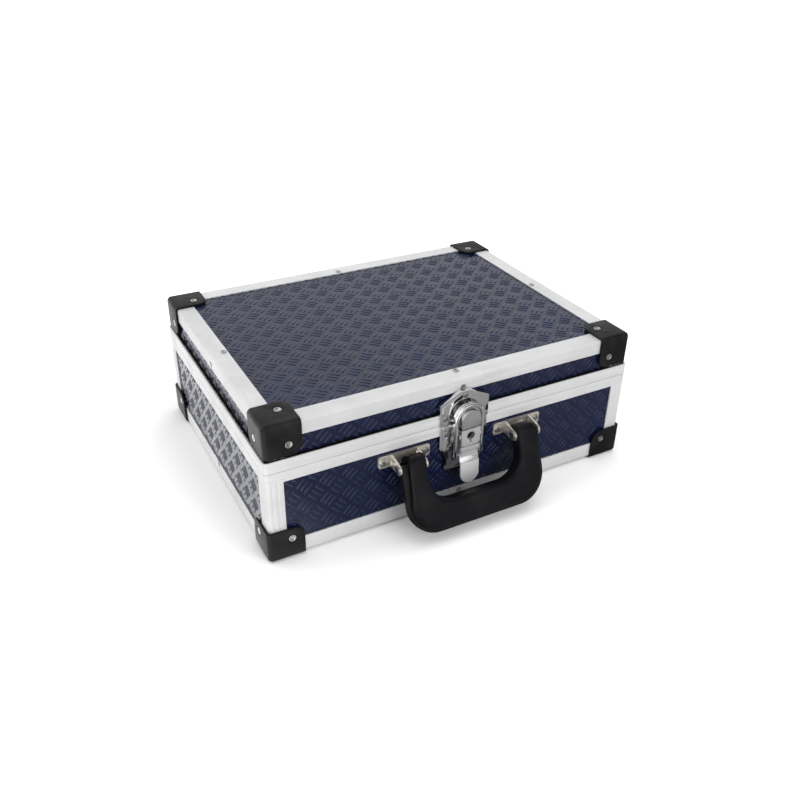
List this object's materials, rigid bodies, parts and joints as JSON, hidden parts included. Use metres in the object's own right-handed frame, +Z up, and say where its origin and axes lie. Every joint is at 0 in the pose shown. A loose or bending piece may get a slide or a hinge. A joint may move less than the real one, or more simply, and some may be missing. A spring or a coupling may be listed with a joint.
{
  "type": "hard tool case",
  "caption": "Low rectangular tool case with aluminium edge profiles, black corner guards, embossed boards, a lid on rear hinges, a lockable front latch and a swinging handle.",
  "frame": {"origin": "on the floor under the middle of the bounding box at rest", "axes": "+X along the width, to the right seen from the front; the front with the latch and the handle faces -Y; +Z up"},
  "size_m": [0.3356, 0.2968, 0.12],
  "materials": {
    "panel": "navy, embossed all over with short crossing ribs, soft gloss",
    "profile": "satin extrusion with fine lengthwise grooves",
    "guard": "black satin",
    "handle": "black, fine grained satin",
    "bracket": "nickel plated",
    "latch": "bright chrome",
    "lock": "dark",
    "hinge": "zinc plated",
    "fastener": "plated"
  },
  "bodies": {
    "base": {"base_bottom_panel": "panel", "base_front_panel": "panel", "base_back_panel": "panel", "base_left_panel": "panel", "base_right_panel": "panel", "base_edge_front": "profile", "base_edge_back": "profile", "base_edge_left": "profile", "base_edge_right": "profile", "base_post_front_left": "profile", "base_post_front_right": "profile", "base_post_back_left": "profile", "base_post_back_right": "profile", "base_rim": "profile", "base_guard_front_left": "guard", "base_guard_front_right": "guard", "base_guard_back_left": "guard", "base_guard_back_right": "guard", "base_rivets": "fastener", "handle_bracket_left": "bracket", "handle_bracket_right": "bracket", "handle_bracket_screws": "fastener", "handle_pins": "fastener", "latch_base_plate": "latch", "latch_base_rivets": "fastener", "latch_pivot_rivets": "fastener", "hinge_left_base_leaf": "hinge", "hinge_right_base_leaf": "hinge", "hinge_pins": "fastener", "hinge_base_rivets": "fastener"},
    "lid": {"lid_top_panel": "panel", "lid_front_panel": "panel", "lid_back_panel": "panel", "lid_left_panel": "panel", "lid_right_panel": "panel", "lid_edge_front": "profile", "lid_edge_back": "profile", "lid_edge_left": "profile", "lid_edge_right": "profile", "lid_post_front_left": "profile", "lid_post_front_right": "profile", "lid_post_back_left": "profile", "lid_post_back_right": "profile", "lid_rim": "profile", "lid_guard_front_left": "guard", "lid_guard_front_right": "guard", "lid_guard_back_left": "guard", "lid_guard_back_right": "guard", "lid_rivets": "fastener", "latch_strike_plate": "latch", "latch_strike_rivets": "fastener", "hinge_left_lid_leaf": "hinge", "hinge_right_lid_leaf": "hinge", "hinge_lid_rivets": "fastener"},
    "lever": {"latch_lever": "latch", "latch_hood_rivets": "fastener"},
    "hood": {"latch_hood": "latch"},
    "lock": {"lock_plug": "lock"},
    "handle": {"handle": "handle"}
  },
  "joints": [
    {"name": "lid_hinge", "type": "hinge", "parent": "base", "child": "lid", "pos_m": [0, 0.14245, 0.08073], "axis": [-1, 0, 0], "range_deg": [0, 95]},
    {"name": "latch_lever", "type": "hinge", "parent": "base", "child": "lever", "pos_m": [0, -0.11855, 0.07253], "axis": [-1, 0, 0], "range_deg": [0, 120]},
    {"name": "latch_hood", "type": "hinge", "parent": "lever", "child": "hood", "pos_m": [0, -0.11625, 0.05403], "axis": [1, 0, 0], "range_deg": [0, 132]},
    {"name": "lock_turn", "type": "hinge", "parent": "lever", "child": "lock", "pos_m": [0, -0.11855, 0.07353], "axis": [0, -1, 0], "range_deg": [0, 90]},
    {"name": "handle_swing", "type": "hinge", "parent": "base", "child": "handle", "pos_m": [0, -0.12155, 0.06123], "axis": [-1, 0, 0], "range_deg": [-26, 68]}
  ],
  "couplings": [
    {"joint": "latch_hood", "follows": "latch_lever", "ratio": 1.1}
  ]
}
